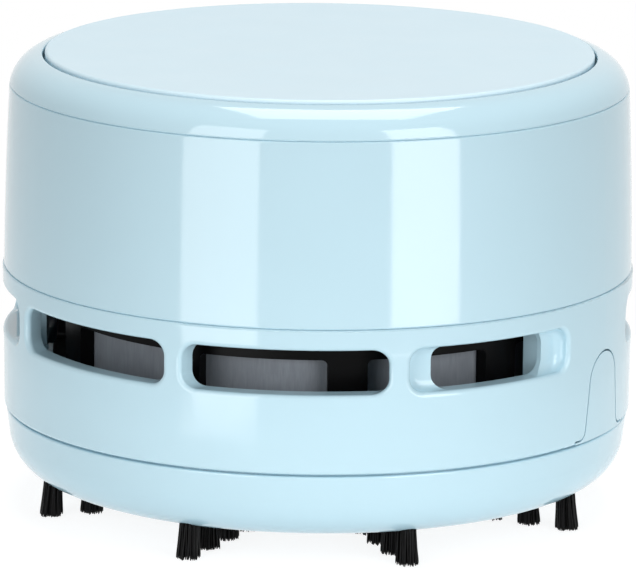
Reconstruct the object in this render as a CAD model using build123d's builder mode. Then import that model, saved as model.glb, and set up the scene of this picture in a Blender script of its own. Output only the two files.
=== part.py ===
from build123d import *

import os
from math import asin, cos, degrees, hypot, radians, sin, sqrt, tan

# Desktop mini vacuum cleaner: a round, battery-powered sweeper that stands on bristle tufts.
# Millimetres, +Z up. The origin is on the vertical axis, at the height of the bristle tips.
# A bearing is an angle round that axis: 0 is the front (-Y) and 90 is the right (+X).

# ---------------------------------------------------------------- bought-in pieces

cell_diameter = 14.5
cell_length = 50.5
cell_edge_round = 0.6
nub_diameter = 5.5
nub_height = 1.2

motor_diameter = 20.4
motor_flat_depth = 2.5
can_length = 20.4
can_wall = 0.8
end_cap_length = 4.6
end_cap_plug = 1.4
motor_boss_diameter = 6.4
motor_boss_height = 1.5
shaft_diameter = 2.0
bush_diameter = 4.4
bush_length = 1.8
magnet_thickness = 1.8
magnet_arc = 84.0
armature_end_room = 3.0
armature_slot_width = 1.6
commutator_diameter = 5.0
commutator_length = 3.5
terminal_width = 2.2
terminal_thickness = 0.4
terminal_length = 3.6
terminal_reach = 1.6
terminal_x = 4.5

switch_width = 8.0
switch_case_height = 6.0
switch_edge_round = 0.5
plunger_diameter = 3.4
plunger_reach = 3.4
plunger_depth = 2.8
board_thickness = 1.2
board_length = 14.0

screw_diameter = 2.0
screw_head_diameter = 3.4
screw_head_height = 1.2
small_head_diameter = 2.8
recess_width = 0.5
recess_depth = 0.4
motor_screw_diameter = 1.6
motor_screw_length = 2.6
motor_screw_head_height = 0.8

# ---------------------------------------------------------------- fits

running_fit = 0.03
press_gap = 0.01
thread_gap = 0.05
slip_gap = 0.2
spigot_fit = 0.25
plate_gap = 0.3
tab_gap = 0.25
tab_root_gap = 0.05
cell_gap = 0.3
armature_gap = 0.5

# ---------------------------------------------------------------- heights, from the bristle tips up

tuft_length = 4.2
tray_height = 9.3
tray_floor = 1.9
tray_rim_thickness = 1.6
spigot_height = 3.3
seal_thickness = 0.8
ledge_thickness = 1.7
cowl_thickness = 1.4
blade_gap = 1.0
blade_height = 5.2
backplate_thickness = 1.2
fan_top_gap = 1.2
deck_thickness = 1.4
well_depth = 2.2
deck_sink = 0.2
slot_cover = 2.75
slot_height = 5.88
holder_stand = 5.2
holder_floor = 1.4
web_gap = 0.3
web_thickness = 1.2
plate_travel = 1.5
plate_stop_gap = 0.6
plate_edge_height = 2.45
plate_proud = 0.45
plate_thickness = 1.4

tray_floor_z = tuft_length + tray_floor
tray_rim_z = tuft_length + tray_height
spigot_top_z = tray_rim_z + spigot_height
ledge_low_z = spigot_top_z + seal_thickness
fan_floor_z = ledge_low_z + ledge_thickness
cowl_top_z = fan_floor_z + cowl_thickness
impeller_low_z = cowl_top_z + blade_gap
backplate_low_z = impeller_low_z + blade_height
impeller_top_z = backplate_low_z + backplate_thickness
well_low_z = impeller_top_z + fan_top_gap
motor_seat_z = well_low_z + deck_thickness
deck_low_z = well_low_z + well_depth
deck_top_z = deck_low_z + deck_thickness
mid_seam_z = deck_top_z - deck_sink
slot_top_z = mid_seam_z - slot_cover
slot_low_z = slot_top_z - slot_height
can_top_z = motor_seat_z + can_length
motor_top_z = can_top_z + end_cap_length
holder_low_z = deck_top_z + holder_stand
holder_floor_z = holder_low_z + holder_floor
cell_axis_z = holder_floor_z + cell_gap + cell_diameter / 2
web_low_z = max(motor_top_z, cell_axis_z + cell_diameter / 2) + web_gap
cap_seam_z = web_low_z + web_thickness
plate_low_z = cap_seam_z + plate_travel + plate_stop_gap
top_z = plate_low_z + plate_edge_height
cap_crest_z = top_z - plate_proud
plate_ceiling_z = top_z - plate_thickness

# ---------------------------------------------------------------- radii, from the cells out

motor_cell_gap = 2.4
cell_spring_length = 4.5
contact_thickness = 0.4
holder_end_wall = 1.3
room_round_cells = 1.7
upper_wall = 2.5
upper_draft = 0.75
upper_crown = 0.13
lower_step = 0.2
lower_draft = 0.2
tray_step = 0.28
tray_groove_depth = 0.9
tray_groove_height = 0.3
tray_taper = 1.06
tray_corner = 6.2
tray_wall = 1.8
spigot_wall = 1.3
air_gap = 4.1
cage_wall = 2.0
sleeve_wall = 0.7
fan_tip_gap = 5.0
ledge_width = 12.9
cap_rim_width = 4.45
cap_rounding = 5.0

# The body is the circle round the two cells, which lie on either side of the motor.
cell_radius = cell_diameter / 2
motor_radius = motor_diameter / 2
motor_flats = motor_diameter - 2 * motor_flat_depth
cell_x = motor_flats / 2 + motor_cell_gap + cell_radius
bay_half_length = (cell_length + cell_spring_length) / 2
bay_end_y = bay_half_length + contact_thickness
holder_end_y = bay_end_y + holder_end_wall
inner_radius = hypot(cell_x + cell_radius, holder_end_y) + room_round_cells
upper_radius = inner_radius + upper_wall
upper_top_radius = upper_radius - upper_draft
lower_radius = upper_radius + lower_step
lower_foot_radius = lower_radius - lower_draft
tray_radius = lower_foot_radius - tray_step
tray_foot_radius = tray_radius - tray_taper
spigot_radius = inner_radius - spigot_fit
spigot_bore = spigot_radius - spigot_wall
cage_radius = inner_radius - air_gap
cage_bore = cage_radius - cage_wall
sleeve_radius = cage_bore - slip_gap / 2
sleeve_bore = sleeve_radius - sleeve_wall
cowl_radius = sleeve_bore - slip_gap
impeller_radius = sleeve_bore - fan_tip_gap
ledge_bore = inner_radius - ledge_width
deck_radius = inner_radius - slip_gap
cap_bore = upper_top_radius - cap_rim_width
plate_radius = cap_bore - plate_gap

# ---------------------------------------------------------------- details of each piece

seam_round = 0.25
foot_round = 0.5
plate_round = 0.4
lip_wall = 1.2
lip_height = 1.5

cut_margin = 1.0
scoop_arc = 34.4
front_slot_start = 1.65
front_slot_end = 38.5
front_slot_draft = 9.0
slot_corner = 2.0
slot_round = 0.6
scoop_bearings = (-60.0, 60.0, 120.0, 240.0)
scoop_depth = 2.0
scoop_round = 1.2
scoop_opening_arc = 25.0
pocket_wall_depth = 2.5
pocket_wall_thickness = 1.4

cage_window_count = 10
cage_window_arc = 27.6
cage_window_bearing = 14.7
cage_window_corner = 0.8
cage_foot = 1.4
cage_head = 4.25

tab_bearings = (90.0, 270.0)
tab_height = 11.4
tab_tip_radius = 4.0
tab_base_half_width = 5.0
tab_root_height = 0.3
tab_root_half_width = 7.2
tab_root_round = 1.6
tab_wing_half_width = 8.0
tab_wing_height = 9.4
tab_wing_lift = 0.4
tab_wing_corner = 2.0
tab_pocket_side = 1.8
tab_pocket_room = 1.6

tuft_rows = 8
tufts_per_row = 4
tuft_pitch = 5.5
tuft_inset = 4.92
tuft_root_diameter = 2.6
tuft_tip_diameter = 3.4
tuft_socket_depth = 1.5

inlet_diameter = 22.0
inlet_chamfer = 0.6
chimney_wall = 1.2
chimney_height = 6.0

eye_diameter = 24.0
eye_lip_wall = 1.2
eye_lip_depth = 1.4
filter_frame_wall = 1.2
filter_flange_width = 1.0
filter_flange_thickness = 1.2
filter_frame_depth = 2.4
filter_bar_width = 1.6
filter_bar_height = 1.0
filter_bar_count = 3
cloth_thickness = 1.2

blade_count = 9
blade_thickness = 1.1
blade_root_radius = 11.0
blade_curve_radius = 24.0
blade_lag = 28.0
hub_diameter = 7.0
shaft_end_room = 0.6

boss_bearings = (66.0, 114.0, 246.0, 294.0)
boss_diameter = 5.2
boss_length = 9.0
boss_inset = 2.1
deck_screw_length = 7.0
holder_screw_length = 5.0
cowl_screw_length = 2.6
cowl_screw_count = 3
cowl_screw_inset = 1.7
board_screw_length = 4.0
motor_screw_radius = 6.6

holder_wall = 1.2
rail_rise = 2.5
bridge_gap = 1.6
post_diameter = 5.0
post_y = 20.0
pillar_diameter = 3.6
pillar_inset = 2.0
board_side_gap = 1.6
board_end_gap = 1.2
switch_end_gap = 4.2
contact_half_width = 5.2
contact_drop = 5.0
contact_rise = 4.0
contact_tag_length = 2.9
cell_spring_radius = 3.6
cell_spring_wire = 0.7
cell_spring_turns = 3

skirt_depth = 5.0
skirt_wall = 1.4
leg_bearings = (0.0, 90.0, 180.0, 270.0)
leg_inset = 3.7
leg_diameter = 3.2
leg_hook_diameter = 4.6
leg_hook_height = 1.1
stem_diameter = 4.0
stem_room = 0.5
plate_rim_wall = 1.5
plate_spring_radius = 6.0
plate_spring_wire = 0.5
plate_spring_turns = 2
spring_seat_wall = 0.8
spring_seat_height = 0.5

lead_diameter = 1.2
lead_bend = 1.0
lead_rise = 3.6
lead_run_in = 2.4

UP = (Align.CENTER, Align.CENTER, Align.MIN)
DOWN = (Align.CENTER, Align.CENTER, Align.MAX)

os.makedirs("parts", exist_ok=True)


# ---------------------------------------------------------------- shared shapes


def at_bearing(radius, bearing, z=0.0):
    """Point at a radius, a bearing and a height."""
    return (radius * sin(radians(bearing)), -radius * cos(radians(bearing)), z)


def bearing_plane(bearing):
    """Upright plane through the axis: local x runs outwards at the bearing, local y is up."""
    outwards = (sin(radians(bearing)), -cos(radians(bearing)), 0)
    normal = (-cos(radians(bearing)), -sin(radians(bearing)), 0)
    return Plane(origin=(0, 0, 0), x_dir=outwards, z_dir=normal)


def turned(bearings):
    """Locations that turn a shape made at the front to each bearing."""
    return Locations(*[Rotation(0, 0, bearing) for bearing in bearings])


def rim(sub_part, radius, z):
    """Round edges of a sub-part at a radius and a height."""
    circles = sub_part.edges().filter_by(GeomType.CIRCLE)
    return circles.filter_by(lambda edge: hypot(edge.radius - radius, edge.arc_center.Z - z) < 0.01)


def sector(inner, outer, low, high, arc=360.0, corner=0.0):
    """Part of a ring, centred on the front. Seen from outside, its corners may be rounded."""
    with BuildPart() as block:
        with BuildSketch(bearing_plane(-arc / 2)):
            with Locations(((inner + outer) / 2, (low + high) / 2)):
                Rectangle(outer - inner, high - low)
        revolve(axis=Axis.Z, revolution_arc=arc)
        if corner > 0:
            fillet(block.edges().filter_by(GeomType.LINE).filter_by(Plane.XY), corner)
    return block.part


def screws(places, length, head_diameter=screw_head_diameter):
    """Screws that point up, each with the underside of its head at its place."""
    drive_length = head_diameter - 2 * recess_width
    with BuildPart() as group:
        with Locations(*places):
            Cylinder(screw_diameter / 2, length, align=UP)
            Cylinder(head_diameter / 2, screw_head_height, align=DOWN)
        with Locations(*[(x, y, z - screw_head_height) for x, y, z in places]):
            Box(drive_length, recess_width, recess_depth, align=UP, mode=Mode.SUBTRACT)
            Box(recess_width, drive_length, recess_depth, align=UP, mode=Mode.SUBTRACT)
    return group


def coil(radius, wire, turns, height):
    """Compression spring round the Z axis, from 0 to its height."""
    rise = height - wire
    with BuildPart() as spring:
        with BuildLine() as route:
            Helix(pitch=rise / turns, height=rise, radius=radius, center=(0, 0, wire / 2))
        with BuildSketch(Plane(origin=route.line @ 0, z_dir=route.line % 0)):
            Circle(wire / 2)
        sweep(path=route.line, is_frenet=True)
    return spring.part


def lead(*points):
    """Insulated lead along straight runs joined by tangent arcs."""
    with BuildPart() as bar:
        with BuildLine() as route:
            FilletPolyline(*points, radius=lead_bend)
        with BuildSketch(Plane(origin=route.line @ 0, z_dir=route.line % 0)):
            Circle(lead_diameter / 2)
        sweep(path=route.line)
    return bar


def finish(sub_part, name):
    """Label a finished sub-part and write it."""
    sub_part.part.label = name
    export_step(sub_part.part, f"parts/{name}.step")


# ---------------------------------------------------------------- press plate

leg_radius = plate_radius - leg_inset
leg_low_z = web_low_z - slip_gap - leg_hook_height
plunger_top_z = web_low_z - stem_room
stem_low_z = plunger_top_z + slip_gap / 2
board_front_y = -bay_half_length + board_end_gap
switch_y = board_front_y + switch_end_gap + switch_width / 2

with BuildPart() as power_plate:
    with BuildSketch(Plane.XY.offset(plate_low_z)):
        Circle(plate_radius)
    extrude(amount=plate_edge_height)
    with BuildSketch(Plane.XY.offset(plate_low_z)):
        Circle(plate_radius - plate_rim_wall)
    extrude(amount=plate_edge_height - plate_thickness, mode=Mode.SUBTRACT)
    fillet(rim(power_plate, plate_radius, top_z), plate_round)
    # Four barbed legs hang in the cap's web, and the stem reaches down to the switch.
    with Locations(*[at_bearing(leg_radius, bearing, leg_low_z) for bearing in leg_bearings]):
        Cylinder(leg_diameter / 2, plate_ceiling_z - leg_low_z, align=UP)
        Cone(leg_diameter / 2, leg_hook_diameter / 2, leg_hook_height, align=UP)
    with Locations((0, switch_y, stem_low_z)):
        Cylinder(stem_diameter / 2, plate_ceiling_z - stem_low_z, align=UP)
finish(power_plate, "power_plate")

plate_spring_height = plate_ceiling_z - cap_seam_z
plate_spring_wound = coil(plate_spring_radius, plate_spring_wire, plate_spring_turns, plate_spring_height)
with BuildPart() as plate_spring:
    with Locations((0, 0, cap_seam_z)):
        add(plate_spring_wound)
finish(plate_spring, "plate_spring")

# ---------------------------------------------------------------- battery cap

skirt_bore = spigot_radius - skirt_wall
skirt_low_z = cap_seam_z - skirt_depth
cap_arc_z = cap_crest_z - cap_rounding
cap_arc_radius = upper_top_radius - sqrt(cap_rounding**2 - (cap_seam_z - cap_arc_z) ** 2)
cap_edge_z = cap_arc_z + sqrt(cap_rounding**2 - (cap_bore - cap_arc_radius) ** 2)
cap_shoulder_reach = cap_rounding * cos(radians(45))
cap_shoulder = (cap_arc_radius + cap_shoulder_reach, cap_arc_z + cap_shoulder_reach)
spring_seat_bore = plate_spring_radius + plate_spring_wire / 2 + slip_gap

with BuildPart() as cap_ring:
    with BuildSketch(Plane.XZ):
        with BuildLine():
            ThreePointArc((upper_top_radius, cap_seam_z), cap_shoulder, (cap_bore, cap_edge_z))
            Polyline(
                (cap_bore, cap_edge_z),
                (cap_bore, cap_seam_z),
                (0, cap_seam_z),
                (0, web_low_z),
                (skirt_bore, web_low_z),
                (skirt_bore, skirt_low_z),
                (spigot_radius, skirt_low_z),
                (spigot_radius, cap_seam_z),
                (upper_top_radius, cap_seam_z),
            )
        make_face()
    revolve(axis=Axis.Z)
    fillet(rim(cap_ring, cap_bore, cap_edge_z), seam_round)
    fillet(rim(cap_ring, upper_top_radius, cap_seam_z), seam_round)
    with BuildSketch(Plane.XY.offset(cap_seam_z)):
        with Locations(*[at_bearing(leg_radius, bearing)[:2] for bearing in leg_bearings]):
            Circle(leg_diameter / 2 + slip_gap)
        with Locations((0, switch_y)):
            Circle(stem_diameter / 2 + slip_gap)
    extrude(amount=-web_thickness, mode=Mode.SUBTRACT)
    with BuildSketch(Plane.XY.offset(cap_seam_z)):
        Circle(spring_seat_bore + spring_seat_wall)
        Circle(spring_seat_bore, mode=Mode.SUBTRACT)
    extrude(amount=spring_seat_height)
finish(cap_ring, "cap_ring")

# ---------------------------------------------------------------- upper shell

boss_radius = inner_radius - boss_inset
boss_hole_depth = deck_screw_length - deck_thickness + slip_gap
clear_hole_radius = screw_diameter / 2 + slip_gap / 2
tapped_hole_radius = screw_diameter / 2 + thread_gap
upper_middle = ((upper_radius + upper_top_radius) / 2 + upper_crown, (mid_seam_z + cap_seam_z) / 2)

with BuildPart() as upper_shell:
    with BuildSketch(Plane.XZ):
        with BuildLine():
            ThreePointArc((upper_radius, mid_seam_z), upper_middle, (upper_top_radius, cap_seam_z))
            Polyline(
                (upper_top_radius, cap_seam_z),
                (inner_radius, cap_seam_z),
                (inner_radius, mid_seam_z - lip_height),
                (inner_radius + lip_wall, mid_seam_z - lip_height),
                (inner_radius + lip_wall, mid_seam_z),
                (upper_radius, mid_seam_z),
            )
        make_face()
    revolve(axis=Axis.Z)
    fillet(rim(upper_shell, upper_top_radius, cap_seam_z), seam_round)
    fillet(rim(upper_shell, upper_radius, mid_seam_z), seam_round)
    with Locations(*[at_bearing(boss_radius, bearing, deck_top_z) for bearing in boss_bearings]):
        Cylinder(boss_diameter / 2, boss_length, align=UP)
        Cylinder(tapped_hole_radius, boss_hole_depth, align=UP, mode=Mode.SUBTRACT)
finish(upper_shell, "upper_shell")

# ---------------------------------------------------------------- lower shell with its vents

rebate_radius = inner_radius + lip_wall + slip_gap / 2
rebate_z = mid_seam_z - lip_height - slip_gap / 2
outside = lower_radius + cut_margin
front_slot_low_x = lower_radius * sin(radians(front_slot_start))
front_slot_high_x = lower_radius * sin(radians(front_slot_end))
front_slot_far_y = -lower_radius * cos(radians(front_slot_end))
front_slot_inside_y = -cage_radius * cos(radians(front_slot_end))
front_slot_slope = tan(radians(front_slot_draft))
scoop_block = sector(lower_radius - scoop_depth, outside, slot_low_z, slot_top_z, scoop_arc, slot_corner)
scoop_opening = sector(cage_radius, outside, slot_low_z, slot_top_z, scoop_opening_arc, slot_corner)

# The scoops are hollows with rounded floors, each with a shorter opening through it.
with BuildPart() as scoop:
    add(scoop_block)
    scoop_floor = scoop.faces().sort_by(lambda face: hypot(face.center().X, face.center().Y))[0]
    fillet(scoop_floor.edges(), scoop_round)

# The slots at the front and at the back are drawn straight out of the mould.
with BuildPart() as front_slots:
    with BuildSketch(Plane.XY.offset(slot_low_z)):
        Polygon(
            (front_slot_low_x - front_slot_slope * cut_margin, -outside),
            (front_slot_high_x + front_slot_slope * (outside + front_slot_far_y), -outside),
            (front_slot_high_x - front_slot_slope * (front_slot_inside_y - front_slot_far_y), front_slot_inside_y),
            (front_slot_low_x + front_slot_slope * (lower_radius + front_slot_inside_y), front_slot_inside_y),
            align=None,
        )
    extrude(amount=slot_height)
    fillet(front_slots.edges().filter_by(Plane.XY).filter_by(Axis.X, reverse=True), slot_corner)
    mirror(about=Plane.YZ)

# Behind each release tab the ledge opens into a pocket between two upright walls.
pocket_bore = inner_radius - pocket_wall_depth
pocket_half_width = tab_wing_half_width + tab_pocket_side
pocket_half_arc = degrees(asin(pocket_half_width / pocket_bore))
pocket_wall_arc = 2 * (pocket_half_arc + degrees(pocket_wall_thickness / pocket_bore))
pocket_walls = sector(pocket_bore, inner_radius + lip_wall / 2, ledge_low_z, slot_top_z, pocket_wall_arc)
pocket = sector(spigot_bore - tab_pocket_room, inner_radius, ledge_low_z, slot_top_z, 2 * pocket_half_arc)

with BuildSketch(Plane.XZ) as tab_outline:
    tip_z = tray_rim_z + tab_height
    shoulder_z = tip_z - tab_tip_radius
    with BuildLine():
        Polyline(
            (-tab_tip_radius, shoulder_z),
            (-tab_base_half_width, tray_rim_z + tab_root_height),
            (-tab_root_half_width, tray_rim_z + tab_root_height),
            (-tab_root_half_width, tray_rim_z),
            (tab_root_half_width, tray_rim_z),
            (tab_root_half_width, tray_rim_z + tab_root_height),
            (tab_base_half_width, tray_rim_z + tab_root_height),
            (tab_tip_radius, shoulder_z),
        )
        ThreePointArc((tab_tip_radius, shoulder_z), (0, tip_z), (-tab_tip_radius, shoulder_z))
    make_face()
    root_corners = tab_outline.vertices().filter_by(
        lambda corner: abs(abs(corner.X) - tab_base_half_width) < 0.01
    )
    fillet(root_corners, tab_root_round)

with BuildPart() as tab_notch:
    with BuildSketch(Plane.XZ):
        add(tab_outline.sketch)
        offset(amount=tab_gap)
    extrude(amount=outside)
    split(bisect_by=Plane.XZ.offset(pocket_bore), keep=Keep.TOP)

with BuildPart() as lower_shell:
    with BuildSketch(Plane.XZ):
        with BuildLine():
            Polyline(
                (inner_radius, tray_rim_z),
                (lower_foot_radius, tray_rim_z),
                (lower_radius, mid_seam_z),
                (rebate_radius, mid_seam_z),
                (rebate_radius, rebate_z),
                (inner_radius, rebate_z),
                (inner_radius, fan_floor_z),
                (ledge_bore, fan_floor_z),
                (ledge_bore, ledge_low_z),
                (inner_radius, ledge_low_z),
                close=True,
            )
        make_face()
    revolve(axis=Axis.Z)
    fillet(rim(lower_shell, lower_radius, mid_seam_z), seam_round)
    fillet(rim(lower_shell, lower_foot_radius, tray_rim_z), foot_round)
    with turned((0.0, 180.0)):
        add(front_slots.part, mode=Mode.SUBTRACT)
    with turned(scoop_bearings):
        add(scoop.part, mode=Mode.SUBTRACT)
        add(scoop_opening, mode=Mode.SUBTRACT)
    outer_face = lower_shell.faces().filter_by(GeomType.CONE).sort_by(SortBy.AREA)[-1]
    fillet([edge for hole in outer_face.inner_wires() for edge in hole.edges()], slot_round)
    with turned(tab_bearings):
        add(pocket_walls)
    with turned(tab_bearings):
        add(pocket, mode=Mode.SUBTRACT)
        add(tab_notch.part, mode=Mode.SUBTRACT)
    with PolarLocations(cowl_radius - cowl_screw_inset, cowl_screw_count):
        with Locations((0, 0, ledge_low_z)):
            Cylinder(clear_hole_radius, ledge_thickness, align=UP, mode=Mode.SUBTRACT)
finish(lower_shell, "lower_shell")

# ---------------------------------------------------------------- dust tray, its seals and the release tabs

tray_slope = tray_taper / tray_height
groove_low_z = tray_rim_z - tray_groove_height
shoulder_low_z = tray_rim_z - tray_rim_thickness
wall_foot_radius = tray_foot_radius + tray_slope * tray_floor - tray_wall
wall_top_radius = tray_radius - tray_slope * tray_rim_thickness - tray_wall
outer_tuft_radius = tray_radius - tuft_inset
tuft_radii = [outer_tuft_radius - tuft_pitch * place for place in range(tufts_per_row)]
row_step = 360 / tuft_rows
spigot_gap = sector(spigot_bore - cut_margin, inner_radius, tray_rim_z, ledge_low_z, 2 * pocket_half_arc)

with BuildPart() as dust_tray:
    with BuildSketch(Plane.XZ):
        with BuildLine():
            Polyline(
                (0, tuft_length),
                (tray_foot_radius, tuft_length),
                (tray_radius, groove_low_z),
                (tray_radius - tray_groove_depth, groove_low_z),
                (tray_radius - tray_groove_depth, tray_rim_z),
                (spigot_radius, tray_rim_z),
                (spigot_radius, spigot_top_z),
                (spigot_bore, spigot_top_z),
                (spigot_bore, shoulder_low_z),
                (wall_top_radius, shoulder_low_z),
                (wall_foot_radius, tray_floor_z),
                (0, tray_floor_z),
                close=True,
            )
        make_face()
    revolve(axis=Axis.Z)
    fillet(rim(dust_tray, tray_foot_radius, tuft_length), tray_corner)
    fillet(rim(dust_tray, wall_foot_radius, tray_floor_z), tray_corner - tray_wall)
    fillet(rim(dust_tray, tray_radius, groove_low_z), seam_round)
    with BuildSketch(Plane.XY.offset(tray_floor_z)):
        Circle(inlet_diameter / 2 + chimney_wall)
    extrude(amount=chimney_height)
    with BuildSketch(Plane.XY.offset(tuft_length)):
        Circle(inlet_diameter / 2)
    extrude(amount=tray_floor + chimney_height, mode=Mode.SUBTRACT)
    chamfer(rim(dust_tray, inlet_diameter / 2, tuft_length), inlet_chamfer)
    with turned(tab_bearings):
        add(spigot_gap, mode=Mode.SUBTRACT)
    for tuft_radius in tuft_radii:
        with PolarLocations(tuft_radius, tuft_rows, start_angle=-90):
            with Locations((0, 0, tuft_length)):
                socket_radius = tuft_root_diameter / 2 + press_gap
                Cylinder(socket_radius, tuft_socket_depth, align=UP, mode=Mode.SUBTRACT)
finish(dust_tray, "dust_tray")

seal_ring = sector(spigot_bore, spigot_radius, spigot_top_z, ledge_low_z)
with BuildPart() as tray_seals:
    add(seal_ring)
    with turned(tab_bearings):
        add(spigot_gap, mode=Mode.SUBTRACT)
finish(tray_seals, "tray_seals")

with BuildPart() as shell_skin:
    with BuildSketch(Plane.XZ):
        Polygon(
            (spigot_radius, tray_rim_z + tab_root_gap),
            (lower_foot_radius, tray_rim_z + tab_root_gap),
            (lower_radius, mid_seam_z),
            (spigot_radius, mid_seam_z),
            align=None,
        )
    revolve(axis=Axis.Z)

tab_wing_ring = sector(spigot_bore, spigot_radius, tray_rim_z, mid_seam_z, 2 * pocket_half_arc)
with BuildPart() as tab_wing:
    with BuildSketch(Plane.XZ.offset(pocket_bore)):
        with Locations((0, tray_rim_z + tab_wing_lift + tab_wing_height / 2)):
            RectangleRounded(2 * tab_wing_half_width, tab_wing_height, tab_wing_corner)
    extrude(amount=outside - pocket_bore)
    add(tab_wing_ring, mode=Mode.INTERSECT)

# The arch fills its notch in the shell, and its wider wing lies behind the shell's wall.
with BuildPart() as arch_tab:
    with BuildSketch(Plane.XZ.offset(pocket_bore)):
        add(tab_outline.sketch)
    extrude(amount=outside - pocket_bore)
    add(shell_skin.part, mode=Mode.INTERSECT)
    add(tab_wing.part)

for tab_bearing, tab_name in zip(tab_bearings, ("release_tab_right", "release_tab_left")):
    with BuildPart() as release_tab:
        with turned((tab_bearing,)):
            add(arch_tab.part)
    finish(release_tab, tab_name)

# ---------------------------------------------------------------- bristle tufts

with BuildPart() as tuft_row:
    with Locations(*[(0, -tuft_radius, 0) for tuft_radius in tuft_radii]):
        Cone(tuft_tip_diameter / 2, tuft_root_diameter / 2, tuft_length, align=UP)
        Cylinder(tuft_root_diameter / 2, tuft_length + tuft_socket_depth - press_gap, align=UP)

for row in range(tuft_rows):
    with BuildPart() as bristle_row:
        with turned((row * row_step,)):
            add(tuft_row.part)
    finish(bristle_row, f"bristle_row_{row + 1}")

# ---------------------------------------------------------------- vent cage and exhaust filter

cage_window_low_z = fan_floor_z + cage_foot
cage_window_high_z = deck_low_z - cage_head
cage_step = 360 / cage_window_count
cage_window = sector(
    cage_bore - cut_margin,
    cage_radius + cut_margin,
    cage_window_low_z,
    cage_window_high_z,
    cage_window_arc,
    cage_window_corner,
)

cage_ring = sector(cage_bore, cage_radius, fan_floor_z, deck_low_z)
with BuildPart() as vent_cage:
    add(cage_ring)
    with turned([cage_window_bearing + cage_step * place for place in range(cage_window_count)]):
        add(cage_window, mode=Mode.SUBTRACT)
finish(vent_cage, "vent_cage")

with BuildPart() as exhaust_filter:
    with BuildSketch(Plane.XY.offset(fan_floor_z)):
        Circle(sleeve_radius)
        Circle(sleeve_bore, mode=Mode.SUBTRACT)
    extrude(amount=deck_low_z - slip_gap - fan_floor_z)
finish(exhaust_filter, "exhaust_filter")

# ---------------------------------------------------------------- dust filter under the fan

frame_radius = ledge_bore - slip_gap
frame_bore = frame_radius - filter_frame_wall
frame_low_z = ledge_low_z - filter_frame_depth
flange_radius = ledge_bore + filter_flange_width
cloth_low_z = frame_low_z + filter_bar_height

with BuildPart() as dust_filter_frame:
    with BuildSketch(Plane.XY.offset(frame_low_z)):
        Circle(frame_radius)
        Circle(frame_bore, mode=Mode.SUBTRACT)
    extrude(amount=fan_floor_z - slip_gap - frame_low_z)
    with BuildSketch(Plane.XY.offset(ledge_low_z)):
        Circle(flange_radius)
        Circle(frame_bore, mode=Mode.SUBTRACT)
    extrude(amount=-filter_flange_thickness)
    with BuildSketch(Plane.XY.offset(frame_low_z)):
        with PolarLocations(0, filter_bar_count, angular_range=180):
            Rectangle(frame_radius + frame_bore, filter_bar_width)
    extrude(amount=filter_bar_height)
finish(dust_filter_frame, "dust_filter_frame")

with BuildPart() as dust_filter_cloth:
    with BuildSketch(Plane.XY.offset(cloth_low_z)):
        Circle(frame_bore - slip_gap / 2)
    extrude(amount=cloth_thickness)
finish(dust_filter_cloth, "dust_filter_cloth")

# ---------------------------------------------------------------- fan: cowl, screws and impeller

cowl_screw_radius = cowl_radius - cowl_screw_inset
cowl_screw_step = 360 / cowl_screw_count

with BuildPart() as fan_cowl:
    with BuildSketch(Plane.XY.offset(fan_floor_z)):
        Circle(cowl_radius)
        Circle(eye_diameter / 2, mode=Mode.SUBTRACT)
    extrude(amount=cowl_thickness)
    with BuildSketch(Plane.XY.offset(fan_floor_z)):
        Circle(eye_diameter / 2 + eye_lip_wall)
        Circle(eye_diameter / 2, mode=Mode.SUBTRACT)
    extrude(amount=-eye_lip_depth)
    fillet(rim(fan_cowl, eye_diameter / 2, cowl_top_z), cowl_thickness / 2)
    with PolarLocations(cowl_screw_radius, cowl_screw_count):
        with Locations((0, 0, fan_floor_z)):
            Cylinder(tapped_hole_radius, cowl_thickness, align=UP, mode=Mode.SUBTRACT)
finish(fan_cowl, "fan_cowl")

cowl_screw_places = [
    at_bearing(cowl_screw_radius, 90 + cowl_screw_step * place, ledge_low_z)
    for place in range(cowl_screw_count)
]
finish(screws(cowl_screw_places, cowl_screw_length), "cowl_screws")

with BuildSketch() as blade:
    with BuildLine():
        blade_tip = impeller_radius - blade_thickness
        tip_point = (blade_tip * cos(radians(blade_lag)), -blade_tip * sin(radians(blade_lag)))
        RadiusArc((blade_root_radius, 0), tip_point, blade_curve_radius)
    trace(line_width=blade_thickness)

with BuildPart() as impeller:
    with BuildSketch(Plane.XY.offset(backplate_low_z)):
        Circle(impeller_radius)
    extrude(amount=backplate_thickness)
    with BuildSketch(Plane.XY.offset(impeller_low_z)):
        with PolarLocations(0, blade_count):
            add(blade.sketch)
    extrude(amount=blade_height)
    with BuildSketch(Plane.XY.offset(impeller_low_z)):
        Circle(hub_diameter / 2)
    extrude(amount=blade_height)
    fillet(rim(impeller, hub_diameter / 2, impeller_low_z), seam_round)
    with BuildSketch(Plane.XY.offset(impeller_low_z)):
        Circle(shaft_diameter / 2 + press_gap)
    extrude(amount=impeller_top_z - impeller_low_z, mode=Mode.SUBTRACT)
finish(impeller, "impeller")

# ---------------------------------------------------------------- motor deck and its screws

well_radius = motor_radius + slip_gap
boss_pass_radius = motor_boss_diameter / 2 + slip_gap
post_places = [(side * cell_x, end * post_y) for side in (-1, 1) for end in (-1, 1)]
motor_screw_places = [(0, -motor_screw_radius), (0, motor_screw_radius)]
motor_screw_head_radius = motor_screw_diameter / 2 + motor_screw_head_height

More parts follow.
